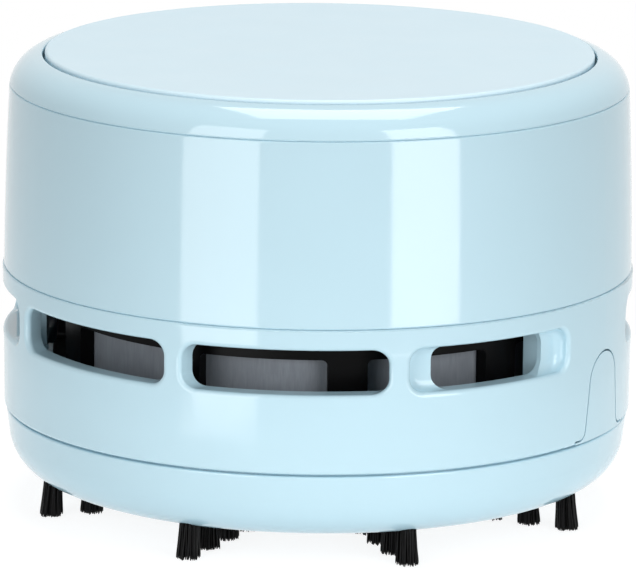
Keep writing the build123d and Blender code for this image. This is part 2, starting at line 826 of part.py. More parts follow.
with BuildPart() as motor_deck:
    with BuildSketch(Plane.XY.offset(deck_low_z)):
        Circle(deck_radius)
    extrude(amount=deck_thickness)
    with BuildSketch(Plane.XY.offset(well_low_z)):
        Circle(well_radius + deck_thickness)
    extrude(amount=well_depth)
    with BuildSketch(Plane.XY.offset(motor_seat_z)):
        Circle(well_radius)
    extrude(amount=deck_top_z - motor_seat_z, mode=Mode.SUBTRACT)
    with BuildSketch(Plane.XY.offset(well_low_z)):
        Circle(boss_pass_radius)
        with Locations(*motor_screw_places):
            Circle(motor_screw_diameter / 2 + slip_gap / 2)
    extrude(amount=deck_thickness, mode=Mode.SUBTRACT)
    with Locations(*[(x, y, well_low_z) for x, y in motor_screw_places]):
        sink_radius = motor_screw_head_radius + slip_gap / 2
        sink_foot = motor_screw_diameter / 2 + slip_gap / 2
        Cone(sink_radius, sink_foot, motor_screw_head_height, align=UP, mode=Mode.SUBTRACT)
    with BuildSketch(Plane.XY.offset(deck_low_z)):
        with Locations(*[at_bearing(boss_radius, bearing)[:2] for bearing in boss_bearings], *post_places):
            Circle(clear_hole_radius)
    extrude(amount=deck_thickness, mode=Mode.SUBTRACT)
finish(motor_deck, "motor_deck")

deck_screw_places = [at_bearing(boss_radius, bearing, deck_low_z) for bearing in boss_bearings]
finish(screws(deck_screw_places, deck_screw_length), "deck_screws")
holder_screw_places = [(x, y, deck_low_z) for x, y in post_places]
finish(screws(holder_screw_places, holder_screw_length), "holder_screws")

with BuildPart() as motor_screws:
    with Locations(*[(x, y, well_low_z) for x, y in motor_screw_places]):
        Cylinder(motor_screw_diameter / 2, motor_screw_length, align=UP)
        Cone(motor_screw_head_radius, motor_screw_diameter / 2, motor_screw_head_height, align=UP)
        Box(motor_screw_head_radius, recess_width, recess_depth, align=UP, mode=Mode.SUBTRACT)
        Box(recess_width, motor_screw_head_radius, recess_depth, align=UP, mode=Mode.SUBTRACT)
finish(motor_screws, "motor_screws")

# ---------------------------------------------------------------- motor

can_bore = motor_radius - can_wall
bush_low_z = motor_seat_z - motor_boss_height + slip_gap
shaft_low_z = impeller_low_z + shaft_end_room
shaft_top_z = motor_top_z - can_wall
upper_bush_z = shaft_top_z - bush_length
armature_low_z = motor_seat_z + armature_end_room
commutator_top_z = can_top_z - end_cap_plug - armature_gap
commutator_low_z = commutator_top_z - commutator_length
armature_high_z = commutator_low_z - armature_gap
armature_radius = motor_flats / 2 - can_wall - armature_gap
terminal_z = can_top_z + (end_cap_length - terminal_thickness) / 2
terminal_front_y = -motor_radius - terminal_reach

with BuildPart() as motor_can:
    with BuildSketch(Plane.XY.offset(motor_seat_z)):
        Circle(motor_radius)
        Rectangle(motor_flats, motor_diameter, mode=Mode.INTERSECT)
    extrude(amount=can_length)
    with BuildSketch(Plane.XY.offset(motor_seat_z + can_wall)):
        Circle(can_bore)
        Rectangle(motor_flats - 2 * can_wall, motor_diameter, mode=Mode.INTERSECT)
    extrude(amount=can_length - can_wall, mode=Mode.SUBTRACT)
    with BuildSketch(Plane.XY.offset(motor_seat_z)):
        Circle(motor_boss_diameter / 2)
    extrude(amount=-motor_boss_height)
    with BuildSketch(Plane.XY.offset(motor_seat_z + can_wall)):
        Circle(bush_diameter / 2 + press_gap)
        with Locations(*motor_screw_places):
            Circle(motor_screw_diameter / 2 + thread_gap)
    extrude(amount=-can_wall - motor_boss_height, mode=Mode.SUBTRACT)
finish(motor_can, "motor_can")

with BuildPart() as motor_end_cap:
    with BuildSketch(Plane.XY.offset(can_top_z)):
        Circle(motor_radius)
        Rectangle(motor_flats, motor_diameter, mode=Mode.INTERSECT)
    extrude(amount=end_cap_length)
    with BuildSketch(Plane.XY.offset(can_top_z)):
        Circle(can_bore - slip_gap / 2)
        Rectangle(motor_flats - 2 * can_wall - slip_gap, motor_diameter, mode=Mode.INTERSECT)
    extrude(amount=-end_cap_plug)
    with BuildSketch(Plane.XY.offset(can_top_z - end_cap_plug)):
        Circle(bush_diameter / 2 + press_gap)
    extrude(amount=shaft_top_z + slip_gap - can_top_z + end_cap_plug, mode=Mode.SUBTRACT)
    with Locations(*[(side * terminal_x, terminal_front_y, terminal_z) for side in (-1, 1)]):
        front = (Align.CENTER, Align.MIN, Align.MIN)
        Box(terminal_width, terminal_length, terminal_thickness, align=front, mode=Mode.SUBTRACT)
finish(motor_end_cap, "motor_end_cap")

with BuildPart() as motor_terminals:
    with Locations(*[(side * terminal_x, terminal_front_y, terminal_z) for side in (-1, 1)]):
        Box(terminal_width, terminal_length, terminal_thickness, align=(Align.CENTER, Align.MIN, Align.MIN))
finish(motor_terminals, "motor_terminals")

with BuildPart() as motor_bushes:
    with Locations((0, 0, bush_low_z), (0, 0, upper_bush_z)):
        Cylinder(bush_diameter / 2, bush_length, align=UP)
        Cylinder(shaft_diameter / 2 + running_fit, bush_length, align=UP, mode=Mode.SUBTRACT)
finish(motor_bushes, "motor_bushes")

magnet_radius = can_bore - slip_gap / 4
magnet_bore = magnet_radius - magnet_thickness
magnet = sector(magnet_bore, magnet_radius, armature_low_z, armature_high_z, magnet_arc)
with BuildPart() as motor_magnets:
    with turned((0, 180)):
        add(magnet)
finish(motor_magnets, "motor_magnets")

with BuildPart() as motor_shaft:
    with BuildSketch(Plane.XY.offset(shaft_low_z)):
        Circle(shaft_diameter / 2)
    extrude(amount=shaft_top_z - shaft_low_z)
finish(motor_shaft, "motor_shaft")

with BuildPart() as motor_armature:
    with BuildSketch(Plane.XY.offset(armature_low_z)):
        Circle(armature_radius)
        with PolarLocations(armature_radius, 3):
            Rectangle(armature_radius, armature_slot_width, mode=Mode.SUBTRACT)
    extrude(amount=armature_high_z - armature_low_z)
    with BuildSketch(Plane.XY.offset(armature_high_z)):
        Circle(commutator_diameter / 2)
    extrude(amount=commutator_top_z - armature_high_z)
    with BuildSketch(Plane.XY.offset(armature_low_z)):
        Circle(shaft_diameter / 2 + press_gap)
    extrude(amount=commutator_top_z - armature_low_z, mode=Mode.SUBTRACT)
finish(motor_armature, "motor_armature")

# ---------------------------------------------------------------- battery holder

switch_top_z = plunger_top_z - plunger_reach
board_top_z = switch_top_z - switch_case_height
board_low_z = board_top_z - board_thickness
rail_top_z = cell_axis_z + rail_rise
contact_low_z = cell_axis_z - contact_drop
contact_height = contact_drop + contact_rise
trough_inner_x = cell_x - cell_radius - cell_gap - holder_wall
trough_width = 2 * (cell_radius + cell_gap + holder_wall)
board_half_width = trough_inner_x - board_side_gap
pillar_x = board_half_width - pillar_inset
pillar_y = board_front_y + pillar_inset
bridge_y = motor_radius + bridge_gap
post_hole_depth = holder_screw_length - deck_thickness + slip_gap
tag_x = trough_inner_x - contact_tag_length

with BuildPart() as battery_holder:
    with BuildSketch(Plane.XY.offset(holder_low_z)):
        with Locations((-cell_x, 0), (cell_x, 0)):
            Rectangle(trough_width, 2 * holder_end_y)
    extrude(amount=rail_top_z - holder_low_z)
    with BuildSketch(Plane.XY.offset(holder_low_z)):
        with Locations((0, (bridge_y + holder_end_y) / 2), (0, -(bridge_y + holder_end_y) / 2)):
            Rectangle(2 * cell_x, holder_end_y - bridge_y)
    extrude(amount=holder_floor)
    with BuildSketch(Plane.XY.offset(holder_low_z)):
        with Locations((0, (bay_end_y + holder_end_y) / 2), (0, -(bay_end_y + holder_end_y) / 2)):
            Rectangle(2 * cell_x, holder_end_wall)
    extrude(amount=rail_top_z - holder_low_z)
    # Each bay is round below the cell's axis and open above it.
    with BuildSketch(Plane.XZ.offset(-bay_end_y)):
        with Locations((-cell_x, cell_axis_z), (cell_x, cell_axis_z)):
            Circle(cell_radius + cell_gap)
        with Locations((-cell_x, cell_axis_z), (cell_x, cell_axis_z)):
            Rectangle(2 * (cell_radius + cell_gap), cell_diameter, align=(Align.CENTER, Align.MIN))
    extrude(amount=2 * bay_end_y, mode=Mode.SUBTRACT)
    # The contact plates stand in slots at both ends.
    with Locations((0, (bay_half_length + bay_end_y) / 2), (0, -(bay_half_length + bay_end_y) / 2)):
        with Locations((0, 0, contact_low_z)):
            slot_width = 2 * (cell_x + contact_half_width)
            Box(slot_width, contact_thickness, contact_height, align=UP, mode=Mode.SUBTRACT)
    with Locations(*[(x, y, deck_top_z) for x, y in post_places]):
        Cylinder(post_diameter / 2, holder_stand, align=UP)
        Cylinder(tapped_hole_radius, post_hole_depth, align=UP, mode=Mode.SUBTRACT)
    with Locations((-pillar_x, pillar_y, holder_floor_z), (pillar_x, pillar_y, holder_floor_z)):
        Cylinder(pillar_diameter / 2, board_low_z - holder_floor_z, align=UP)
        Cylinder(tapped_hole_radius, board_low_z - holder_floor_z, align=UP, mode=Mode.SUBTRACT)
finish(battery_holder, "battery_holder")

# ---------------------------------------------------------------- cells, their springs and contacts

with BuildPart() as cell:
    with BuildSketch(Plane.XZ.offset(bay_half_length - nub_height)):
        with Locations((0, cell_axis_z)):
            Circle(cell_radius)
    extrude(amount=-(cell_length - nub_height))
    fillet(cell.edges().filter_by(GeomType.CIRCLE), cell_edge_round)
    with BuildSketch(Plane.XZ.offset(bay_half_length - nub_height)):
        with Locations((0, cell_axis_z)):
            Circle(nub_diameter / 2)
    extrude(amount=nub_height)

# The left cell has its nub at the front and the right one at the back, so they are in series.
cell_turns = (
    (-cell_x, 0, "cell_left", "cell_spring_left"),
    (cell_x, 180, "cell_right", "cell_spring_right"),
)
spring_wound = coil(cell_spring_radius, cell_spring_wire, cell_spring_turns, cell_spring_length)
for place_x, turn, cell_name, spring_name in cell_turns:
    with BuildPart() as placed_cell:
        with Locations(Location((place_x, 0, 0), (0, 0, turn))):
            add(cell.part)
    finish(placed_cell, cell_name)
    with BuildPart() as placed_spring:
        with Locations(Location((place_x, 0, 0), (0, 0, turn))):
            with Locations(Location((0, bay_half_length, cell_axis_z), (90, 0, 0))):
                add(spring_wound)
    finish(placed_spring, spring_name)

with BuildPart() as contact_bridge:
    with Locations((0, bay_half_length, contact_low_z)):
        bridge_width = 2 * (cell_x + contact_half_width)
        Box(bridge_width, contact_thickness, contact_height, align=(Align.CENTER, Align.MIN, Align.MIN))
finish(contact_bridge, "contact_bridge")

tab_plate_width = cell_x + contact_half_width - tag_x
with BuildPart() as contact_plus:
    with Locations((-tag_x, -bay_half_length, contact_low_z)):
        Box(tab_plate_width, contact_thickness, contact_height, align=(Align.MAX, Align.MAX, Align.MIN))
finish(contact_plus, "contact_plus")

with BuildPart() as contact_minus:
    with Locations((tag_x, -bay_half_length, contact_low_z)):
        Box(tab_plate_width, contact_thickness, contact_height, align=(Align.MIN, Align.MAX, Align.MIN))
finish(contact_minus, "contact_minus")

# ---------------------------------------------------------------- switch on its board

with BuildPart() as switch_board:
    with BuildSketch(Plane.XY.offset(board_low_z)):
        with Locations((0, board_front_y + board_length / 2)):
            Rectangle(2 * board_half_width, board_length)
        with Locations((-pillar_x, pillar_y), (pillar_x, pillar_y)):
            Circle(clear_hole_radius, mode=Mode.SUBTRACT)
    extrude(amount=board_thickness)
finish(switch_board, "switch_board")

with BuildPart() as board_screws:
    with Locations((-pillar_x, pillar_y, board_top_z), (pillar_x, pillar_y, board_top_z)):
        Cylinder(screw_diameter / 2, board_screw_length, align=DOWN)
        Cylinder(small_head_diameter / 2, screw_head_height, align=UP)
    with Locations(*[(side * pillar_x, pillar_y, board_top_z + screw_head_height) for side in (-1, 1)]):
        drive_length = small_head_diameter - 2 * recess_width
        Box(drive_length, recess_width, recess_depth, align=DOWN, mode=Mode.SUBTRACT)
        Box(recess_width, drive_length, recess_depth, align=DOWN, mode=Mode.SUBTRACT)
finish(board_screws, "board_screws")

with BuildPart() as switch_case:
    with BuildSketch(Plane.XY.offset(board_top_z)):
        with Locations((0, switch_y)):
            RectangleRounded(switch_width, switch_width, switch_edge_round)
    extrude(amount=switch_case_height)
    with BuildSketch(Plane.XY.offset(switch_top_z)):
        with Locations((0, switch_y)):
            Circle(plunger_diameter / 2 + slip_gap / 2)
    extrude(amount=-(plunger_depth + plate_travel + slip_gap), mode=Mode.SUBTRACT)
finish(switch_case, "switch_case")

with BuildPart() as switch_plunger:
    with BuildSketch(Plane.XY.offset(switch_top_z - plunger_depth)):
        with Locations((0, switch_y)):
            Circle(plunger_diameter / 2)
    extrude(amount=plunger_depth + plunger_reach)
    chamfer(switch_plunger.edges().group_by(Axis.Z)[-1], seam_round)
finish(switch_plunger, "switch_plunger")

# ---------------------------------------------------------------- internal leads

lead_x = tag_x + lead_diameter / 2
lead_high_z = board_top_z + lead_rise
terminal_mid_z = terminal_z + terminal_thickness / 2
before_switch_y = switch_y - lead_run_in
behind_switch_y = switch_y + lead_run_in
before_terminal_y = terminal_front_y - terminal_reach

lead_plus = lead(
    (-lead_x, -bay_half_length, lead_high_z),
    (-lead_x, before_switch_y, lead_high_z),
    (-lead_x, before_switch_y, board_top_z),
)
finish(lead_plus, "lead_plus")

lead_switch = lead(
    (-lead_x, behind_switch_y, board_top_z),
    (-lead_x, behind_switch_y, terminal_mid_z),
    (-terminal_x, before_terminal_y, terminal_mid_z),
    (-terminal_x, terminal_front_y, terminal_mid_z),
)
finish(lead_switch, "lead_switch")

lead_minus = lead(
    (lead_x, -bay_half_length, lead_high_z),
    (lead_x, behind_switch_y, lead_high_z),
    (lead_x, behind_switch_y, terminal_mid_z),
    (terminal_x, before_terminal_y, terminal_mid_z),
    (terminal_x, terminal_front_y, terminal_mid_z),
)
finish(lead_minus, "lead_minus")
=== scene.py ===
"""Looks of a round desktop mini vacuum cleaner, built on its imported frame.

Metres, +Z up, with the origin at the bristle tips on the upright axis. A bearing is an angle round
that axis: 0 is the front (-Y) and 90 is the right (+X).
"""

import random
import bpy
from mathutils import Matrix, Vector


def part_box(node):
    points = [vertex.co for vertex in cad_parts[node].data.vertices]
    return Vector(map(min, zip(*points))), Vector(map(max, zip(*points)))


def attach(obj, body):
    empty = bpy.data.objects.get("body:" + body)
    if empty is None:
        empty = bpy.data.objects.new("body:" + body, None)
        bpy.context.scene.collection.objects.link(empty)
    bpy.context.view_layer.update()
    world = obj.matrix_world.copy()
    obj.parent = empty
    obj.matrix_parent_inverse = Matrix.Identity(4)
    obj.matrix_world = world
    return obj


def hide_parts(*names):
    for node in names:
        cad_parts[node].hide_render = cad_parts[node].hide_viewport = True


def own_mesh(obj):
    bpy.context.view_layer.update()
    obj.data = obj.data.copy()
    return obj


bl_info = {
    "name": "Desk Sweeper",
    "version": (1, 0, 0),
    "blender": (4, 5, 0),
    "location": "3D View > Sidebar > Sweeper",
    "description": "Builds the looks of a round desktop mini vacuum cleaner",
    "category": "Add Mesh",
}

from math import cos, degrees, pi, radians, sin, sqrt, tau

import bmesh
import bpy
from bpy.props import FloatProperty, FloatVectorProperty, IntProperty, PointerProperty
from mathutils import Matrix, Quaternion, Vector

MM = 0.001

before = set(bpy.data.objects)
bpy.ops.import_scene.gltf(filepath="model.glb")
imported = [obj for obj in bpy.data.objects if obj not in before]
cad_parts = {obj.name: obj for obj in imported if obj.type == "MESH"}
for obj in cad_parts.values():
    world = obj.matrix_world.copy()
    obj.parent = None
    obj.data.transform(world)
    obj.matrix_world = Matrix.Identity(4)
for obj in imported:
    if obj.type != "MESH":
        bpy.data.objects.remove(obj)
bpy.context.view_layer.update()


# ---------------------------------------------------------------- small helpers


def linear(hex_colour):
    """Turn an sRGB hex colour into the linear one that shaders take."""
    channels = [int(hex_colour[place : place + 2], 16) / 255 for place in (1, 3, 5)]
    return [c / 12.92 if c <= 0.04045 else ((c + 0.055) / 1.055) ** 2.4 for c in channels]


def at_bearing(radius, bearing, z=0.0):
    """Point at a radius, a bearing in degrees and a height."""
    return Vector((radius * sin(radians(bearing)), -radius * cos(radians(bearing)), z))


def add_node(tree, kind, inputs=None, **settings):
    """Add a shader node with its settings. An input is a value or another node's socket."""
    made = tree.nodes.new(kind)
    for setting, value in settings.items():
        setattr(made, setting, value)
    for socket, value in (inputs or {}).items():
        if isinstance(value, bpy.types.NodeSocket):
            tree.links.new(value, made.inputs[socket])
        else:
            made.inputs[socket].default_value = value
    return made


def nothing_selected():
    """Leave edit mode and deselect everything, so that the next primitive stands alone."""
    if bpy.context.object and bpy.context.object.mode != "OBJECT":
        bpy.ops.object.mode_set(mode="OBJECT")
    bpy.ops.object.select_all(action="DESELECT")


def settle(name):
    """Bake the active object's place into its mesh, name it and return it."""
    bpy.ops.object.transform_apply(location=True, rotation=True, scale=True)
    piece = bpy.context.object
    piece.name = name
    piece.data.name = name
    return piece


def stamp(target, source, move):
    """Copy a mesh into a bmesh and move each of its corners by a function."""
    first = len(target.verts)
    target.from_mesh(source)
    target.verts.ensure_lookup_table()
    for corner in target.verts[first:]:
        corner.co = move(corner.co)
    return target.verts[first:]


def piece_of(name, body, material, mesh, nodes):
    """Put a finished mesh in the scene as a piece that rides on a body and replaces CAD nodes."""
    piece = bpy.data.objects.new(name, mesh)
    bpy.context.scene.collection.objects.link(piece)
    mesh.materials.append(material)
    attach(piece, body)
    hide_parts(*nodes)
    return piece


def dress(material, *names):
    """Give CAD nodes a finish."""
    for name in names:
        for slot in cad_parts[name].material_slots:
            slot.material = material


# ---------------------------------------------------------------- what a user would change


class SweeperSizes(bpy.types.PropertyGroup):
    """Sizes of the pieces that are modelled here."""

    filament_count: IntProperty(
        name="Filaments", description="Nylon filaments in one tuft", default=110, min=20, max=200
    )
    filament_thickness: FloatProperty(
        name="Filament thickness",
        description="Diameter of one filament, coarser than the real 0.15 mm so that it shows",
        default=0.22 * MM,
        unit="LENGTH",
        precision=5,
    )
    tuft_root: FloatProperty(
        name="Tuft root",
        description="Radius of a tuft in its socket",
        default=1.3 * MM,
        unit="LENGTH",
        precision=5,
    )
    tuft_tip: FloatProperty(
        name="Tuft tip",
        description="Radius of a tuft at its tips",
        default=1.7 * MM,
        unit="LENGTH",
        precision=5,
    )
    tuft_ragged: FloatProperty(
        name="Tuft raggedness",
        description="How much shorter than the longest the filaments are cut",
        default=0.26 * MM,
        unit="LENGTH",
        precision=5,
    )
    tuft_splay: FloatProperty(
        name="Tuft splay",
        description="How far the tips of the outermost tuft lean outwards",
        default=0.35 * MM,
        unit="LENGTH",
        precision=5,
    )
    tuft_pitch: FloatProperty(
        name="Tuft pitch",
        description="Distance between tufts in a row",
        default=5.5 * MM,
        unit="LENGTH",
        precision=5,
    )
    spring_wire: FloatProperty(
        name="Spring wire",
        description="Wire diameter of the plate's spring",
        default=0.5 * MM,
        unit="LENGTH",
        precision=5,
    )
    spring_turns: IntProperty(
        name="Spring turns", description="Turns of the plate's spring", default=2, min=1, max=6
    )


class SweeperColours(bpy.types.PropertyGroup):
    """Colours of the finishes."""

    shell: FloatVectorProperty(
        name="Shell", description="Polished ABS of the body", subtype="COLOR", default=linear("#BFDEEA")
    )
    plate: FloatVectorProperty(
        name="Plate",
        description="Textured ABS of the press plate",
        subtype="COLOR",
        default=linear("#D4EBF5"),
    )
    cage: FloatVectorProperty(
        name="Cage", description="Black ABS behind the vents", subtype="COLOR", default=linear("#0C0C0D")
    )
    exhaust: FloatVectorProperty(
        name="Exhaust filter",
        description="Grey non-woven sleeve",
        subtype="COLOR",
        default=linear("#8A9098"),
    )
    bristle: FloatVectorProperty(
        name="Bristles", description="Black nylon", subtype="COLOR", default=linear("#0B0B0C")
    )
    jacket: FloatVectorProperty(
        name="Cell jacket", description="Film round the cells", subtype="COLOR", default=linear("#2B3036")
    )
    band: FloatVectorProperty(
        name="Cell band",
        description="Band at the cells' positive end",
        subtype="COLOR",
        default=linear("#B9743A"),
    )


class SweeperStudio(bpy.types.PropertyGroup):
    """Camera and lights."""

    view_bearing: FloatProperty(
        name="View bearing", description="Bearing of the camera", default=radians(26.24), unit="ROTATION"
    )
    view_rise: FloatProperty(
        name="View rise", description="Elevation of the camera", default=radians(12.29), unit="ROTATION"
    )
    view_roll: FloatProperty(
        name="View roll", description="Tilt of the camera", default=radians(0.56), unit="ROTATION"
    )
    view_distance: FloatProperty(
        name="View distance", description="Camera to the axis", default=0.825, unit="LENGTH"
    )
    lens: FloatProperty(name="Lens", description="Focal length in mm on a 36 mm sensor", default=345.3)
    floor_radius: FloatProperty(
        name="Floor radius", description="Radius of the round table top", default=0.11, unit="LENGTH"
    )
    key_strength: FloatProperty(name="Key", description="Brightness of the right softbox", default=3.5)
    fill_strength: FloatProperty(name="Fill", description="Brightness of the left softbox", default=2.45)
    top_strength: FloatProperty(name="Top", description="Brightness of the overhead softbox", default=3.4)
    room_strength: FloatProperty(
        name="Room", description="Brightness of the room round the table", default=0.13
    )


# ---------------------------------------------------------------- finishes

ABS_IOR = 1.53
NICKEL_PLATE = linear("#C9C9C4")
EVEN_STRETCH = (1.0, 1.0, 1.0)
MARK_DEPTH = 0.002 * MM


def new_finish(name):
    """Start a material, and return it with its tree, its shader and its coordinates in metres."""
    material = bpy.data.materials.new(name)
    material.use_nodes = True
    tree = material.node_tree
    place = add_node(tree, "ShaderNodeTexCoord").outputs["Object"]
    return material, tree, tree.nodes["Principled BSDF"], place


def noise(tree, place, size, detail=2.0, roughness=0.5):
    """Noise whose lumps are about a size in metres."""
    inputs = {"Vector": place, "Scale": 1 / size, "Detail": detail, "Roughness": roughness}
    return add_node(tree, "ShaderNodeTexNoise", inputs).outputs["Fac"]


def shade(colour, factor):
    """A colour made darker or lighter, with alpha."""
    return [min(1.0, channel * factor) for channel in colour] + [1.0]


def blend_colours(tree, factor, low, high):
    """Mix two colours by a socket."""
    return add_node(tree, "ShaderNodeMix", {0: factor, 6: low, 7: high}, data_type="RGBA").outputs[2]


def spread(tree, value, low, high, start=0.0, end=1.0):
    """Map a socket from one range to another."""
    inputs = {"Value": value, "From Min": start, "From Max": end, "To Min": low, "To Max": high}
    return add_node(tree, "ShaderNodeMapRange", inputs).outputs["Result"]


def moulded(name, colour, roughness, ior, grain, grain_depth, drift=0.04, unevenness=0.03):
    """Injection-moulded plastic: colour that drifts a little, and the tool's surface as fine bumps."""
    material, tree, shader, place = new_finish(name)
    clouds = noise(tree, place, size=9 * MM)
    tint = blend_colours(tree, clouds, shade(colour, 1 - drift), shade(colour, 1 + drift))
    tree.links.new(tint, shader.inputs["Base Color"])
    smear = noise(tree, place, size=6 * MM, detail=4.0)
    gloss = spread(tree, smear, roughness - unevenness, roughness + unevenness, start=0.3, end=0.7)
    tree.links.new(gloss, shader.inputs["Roughness"])
    shader.inputs["IOR"].default_value = ior
    relief = {"Height": noise(tree, place, grain, detail=3.0), "Strength": 1.0, "Distance": grain_depth}
    tree.links.new(add_node(tree, "ShaderNodeBump", relief).outputs["Normal"], shader.inputs["Normal"])
    return material


def polished_abs(name, colour):
    """ABS moulded in a polished tool: a clear gloss with crisp edges to what it mirrors, and the very
    slight waves that cooling leaves some 7 mm apart."""
    return moulded(
        name,
        colour,
        roughness=0.085,
        ior=ABS_IOR,
        grain=7 * MM,
        grain_depth=0.0035 * MM,
        drift=0.012,
        unevenness=0.02,
    )


def spark_textured_abs(name, colour):
    """ABS moulded in a spark-eroded tool: satin, with a 0.1 mm grain that is drawn at 0.35 mm so that it
    shows."""
    return moulded(
        name, colour, roughness=0.42, ior=ABS_IOR, grain=0.35 * MM, grain_depth=0.012 * MM, drift=0.015
    )


def black_abs(name, colour):
    """Dark ABS moulded in a plain machined tool: half gloss. Its shine is held below that of real ABS, as
    the photograph shows hardly any."""
    material = moulded(
        name, colour, roughness=0.33, ior=ABS_IOR, grain=1.2 * MM, grain_depth=0.01 * MM, drift=0.15
    )
    material.node_tree.nodes["Principled BSDF"].inputs["Specular IOR Level"].default_value = 0.06
    return material


def moulded_nylon(name, colour):
    """Nylon or acetal in a plain tool: a soft waxy half gloss."""
    return moulded(
        name, colour, roughness=0.38, ior=1.5, grain=0.8 * MM, grain_depth=0.006 * MM, drift=0.03
    )


def moulded_polypropylene(name, colour):
    """Polypropylene in a plain tool: duller and waxier than ABS."""
    return moulded(
        name, colour, roughness=0.45, ior=1.49, grain=0.7 * MM, grain_depth=0.008 * MM, drift=0.04
    )


def extruded_pvc(name, colour):
    """PVC drawn over a lead's wire: smooth and a little shiny."""
    return moulded(
        name, colour, roughness=0.3, ior=1.53, grain=0.5 * MM, grain_depth=0.004 * MM, drift=0.05
    )


def solder_masked_laminate(name, colour):
    """Glass laminate under solder mask: glossy, with the weave's 0.4 mm threads faint below."""
    return moulded(
        name, colour, roughness=0.22, ior=1.55, grain=0.4 * MM, grain_depth=0.006 * MM, drift=0.1
    )


def closed_cell_foam(name, colour):
    """Closed-cell foam strip: matt, with 0.3 mm cells cut open at its skin."""
    return moulded(
        name, colour, roughness=0.85, ior=1.45, grain=0.3 * MM, grain_depth=0.05 * MM, drift=0.15
    )


def felted(name, colour, fibre, stretch):
    """Non-woven felt of pressed fibres: a satin mat whose threads lie mostly upright, with painted shade in
    the gaps between threads, paler thread tops and a cloudy tone."""
    material, tree, shader, place = new_finish(name)
    laid = add_node(tree, "ShaderNodeMapping", {"Vector": place, "Scale": (1, 1, stretch)}).outputs["Vector"]
    threads = noise(tree, laid, fibre, detail=5.0, roughness=0.65)
    clouds = noise(tree, place, size=5 * MM)
    # Painted shade: darker in the gaps where the threads' relief is low, paler on the thread tops, times a
    # cloudy tone.
    mat = add_node(tree, "ShaderNodeMath", {0: threads, 1: clouds}, operation="MULTIPLY").outputs[0]
    gap_shade_and_tone = spread(tree, mat, 0, 1, start=0.1, end=0.42)
    tint = blend_colours(tree, gap_shade_and_tone, shade(colour, 0.8), shade(colour, 1.12))
    tree.links.new(tint, shader.inputs["Base Color"])
    shader.inputs["Roughness"].default_value = 0.62
    shader.inputs["Sheen Weight"].default_value = 0.25
    shader.inputs["Sheen Roughness"].default_value = 0.4
    relief = {"Height": threads, "Strength": 1.0, "Distance": 0.05 * MM}
    tree.links.new(add_node(tree, "ShaderNodeBump", relief).outputs["Normal"], shader.inputs["Normal"])
    return material


def metal(name, colour, roughness, grain, stretch=EVEN_STRETCH, depth=MARK_DEPTH):
    """Bare or plated metal: a mirror broken up by the marks of how it was made, with faint stains."""
    stain = 0.12
    material, tree, shader, place = new_finish(name)
    drawn = add_node(tree, "ShaderNodeMapping", {"Vector": place, "Scale": stretch}).outputs["Vector"]
    marks = noise(tree, drawn, grain, detail=4.0, roughness=0.6)
    stains = noise(tree, place, size=3 * MM)
    tint = blend_colours(tree, stains, shade(colour, 1 - stain), shade(colour, 1 + stain / 2))
    tree.links.new(tint, shader.inputs["Base Color"])
    gloss = spread(tree, marks, roughness - 0.08, roughness + 0.1, start=0.3, end=0.7)
    tree.links.new(gloss, shader.inputs["Roughness"])
    shader.inputs["Metallic"].default_value = 1.0
    relief = {"Height": marks, "Strength": 1.0, "Distance": depth}
    tree.links.new(add_node(tree, "ShaderNodeBump", relief).outputs["Normal"], shader.inputs["Normal"])
    return material


def drawn_nylon(name, colour):
    """Drawn nylon filament: near black, each with a shade and a gloss of its own. Its shine is held below
    that of real nylon, as the photograph shows hardly any."""
    material, tree, shader, _ = new_finish(name)
    strand = add_node(tree, "ShaderNodeAttribute", attribute_name="strand").outputs["Fac"]
    palest = [0.009, 0.009, 0.0095, 1.0]
    tint = blend_colours(tree, strand, shade(colour, 0.6), palest)
    tree.links.new(tint, shader.inputs["Base Color"])
    tree.links.new(spread(tree, strand, 0.42, 0.3), shader.inputs["Roughness"])
    shader.inputs["IOR"].default_value = 1.53
    shader.inputs["Specular IOR Level"].default_value = 0.1
    return material


def cell_jacket(name, jacket, band, axis_x, axis_z, band_from, face_radius):
    """Film shrunk round a steel cell: glossy, with a metallic band at the positive end, and the bare
    nickel-plated steel inside the film's turned-over edge."""
    material, tree, shader, place = new_finish(name)
    edge = 0.05 * MM
    parts = add_node(tree, "ShaderNodeSeparateXYZ", {"Vector": place}).outputs
    across = add_node(tree, "ShaderNodeMath", {0: parts["X"], 1: axis_x}, operation="SUBTRACT").outputs[0]
    upward = add_node(tree, "ShaderNodeMath", {0: parts["Z"], 1: axis_z}, operation="SUBTRACT").outputs[0]
    flat = add_node(tree, "ShaderNodeCombineXYZ", {"X": across, "Z": upward}).outputs["Vector"]
    reach = add_node(tree, "ShaderNodeVectorMath", {0: flat}, operation="LENGTH").outputs["Value"]
    bare = spread(tree, reach, 1, 0, face_radius - edge, face_radius + edge)
    before, beyond = (1, 0) if band_from < 0 else (0, 1)
    along = spread(tree, parts["Y"], before, beyond, band_from - 2 * edge, band_from + 2 * edge)
    film = blend_colours(tree, along, shade(jacket, 1), shade(band, 1))
    scuffs = noise(tree, place, size=1.5 * MM, detail=5.0)
    dull_steel, bright_steel = [0.46, 0.46, 0.45, 1], [0.66, 0.66, 0.64, 1]
    steel = blend_colours(tree, scuffs, dull_steel, bright_steel)
    tree.links.new(blend_colours(tree, bare, film, steel), shader.inputs["Base Color"])
    band_metal = 0.85
    shine = add_node(tree, "ShaderNodeMath", {0: along, 1: band_metal}, operation="MULTIPLY").outputs[0]
    metallic = add_node(tree, "ShaderNodeMath", {0: bare, 1: shine}, operation="MAXIMUM").outputs[0]
    tree.links.new(metallic, shader.inputs["Metallic"])
    tree.links.new(spread(tree, scuffs, 0.16, 0.3, start=0.3, end=0.7), shader.inputs["Roughness"])
    return material


# ---------------------------------------------------------------- outer pieces


